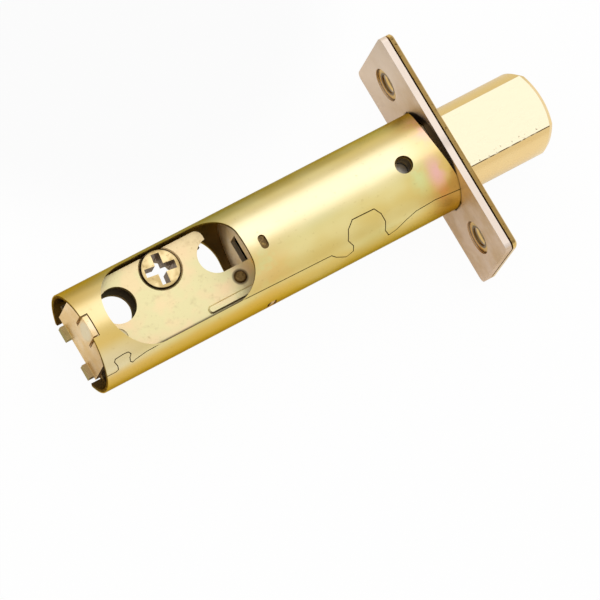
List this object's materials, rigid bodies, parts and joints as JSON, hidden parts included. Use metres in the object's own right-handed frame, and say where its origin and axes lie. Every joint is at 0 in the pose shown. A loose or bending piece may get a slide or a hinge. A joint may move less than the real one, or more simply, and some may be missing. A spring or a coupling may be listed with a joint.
{
  "type": "tubular deadbolt latch",
  "caption": "Tubular deadbolt latch: a rolled metal sleeve with a faceplate, a cross-slotted hub whose crank throws and retracts a flat-sided bolt.",
  "frame": {"origin": "on the sleeve's axis at the faceplate's back face, midway between its screw holes", "axes": "+X along the bolt towards its tip, +Z along the hub's axis, +Y from the sleeve's axis towards the hub's side"},
  "size_m": [0.1235, 0.0572, 0.0254],
  "materials": {
    "yellow_zinc": "yellow passivated zinc plating on rolled steel",
    "plate_zinc": "yellow passivated zinc plating on stamped steel",
    "backing_steel": "plated steel with a warm tone",
    "polished_brass": "polished",
    "hub_steel": "plated sintered steel",
    "guide_metal": "plated casting",
    "plain_steel": "bright steel",
    "spring_steel": "blued spring steel"
  },
  "bodies": {
    "case": {"sleeve_tube": "yellow_zinc", "upper_side_plate": "plate_zinc", "lower_side_plate": "plate_zinc", "end_plate": "plate_zinc", "front_wall": "plate_zinc", "backing_plate": "backing_steel", "trim_plate": "polished_brass", "bolt_guide": "guide_metal", "detent_spring": "spring_steel", "spring_rivet": "plate_zinc"},
    "bolt": {"bolt": "polished_brass", "saw_guard_rod": "plain_steel", "bolt_pin": "plain_steel", "upper_drive_strap": "plate_zinc", "lower_drive_strap": "plate_zinc", "drive_core": "plate_zinc", "rear_drive_block": "plate_zinc", "drive_rivets": "plain_steel"},
    "hub": {"drive_hub": "hub_steel"}
  },
  "joints": [
    {"name": "bolt_slide", "type": "slide", "parent": "case", "child": "bolt", "axis": [1, 0, 0], "range_m": [-0.0254, 0]},
    {"name": "hub_turn", "type": "hinge", "parent": "case", "child": "hub", "pos_m": [-0.06985, 0.00604, 0], "axis": [0, 0, 1], "range_deg": [-110.33, 0]}
  ],
  "couplings": [
    {"joint": "hub_turn", "follows": "bolt_slide", "rad_per_m": 75.8}
  ]
}
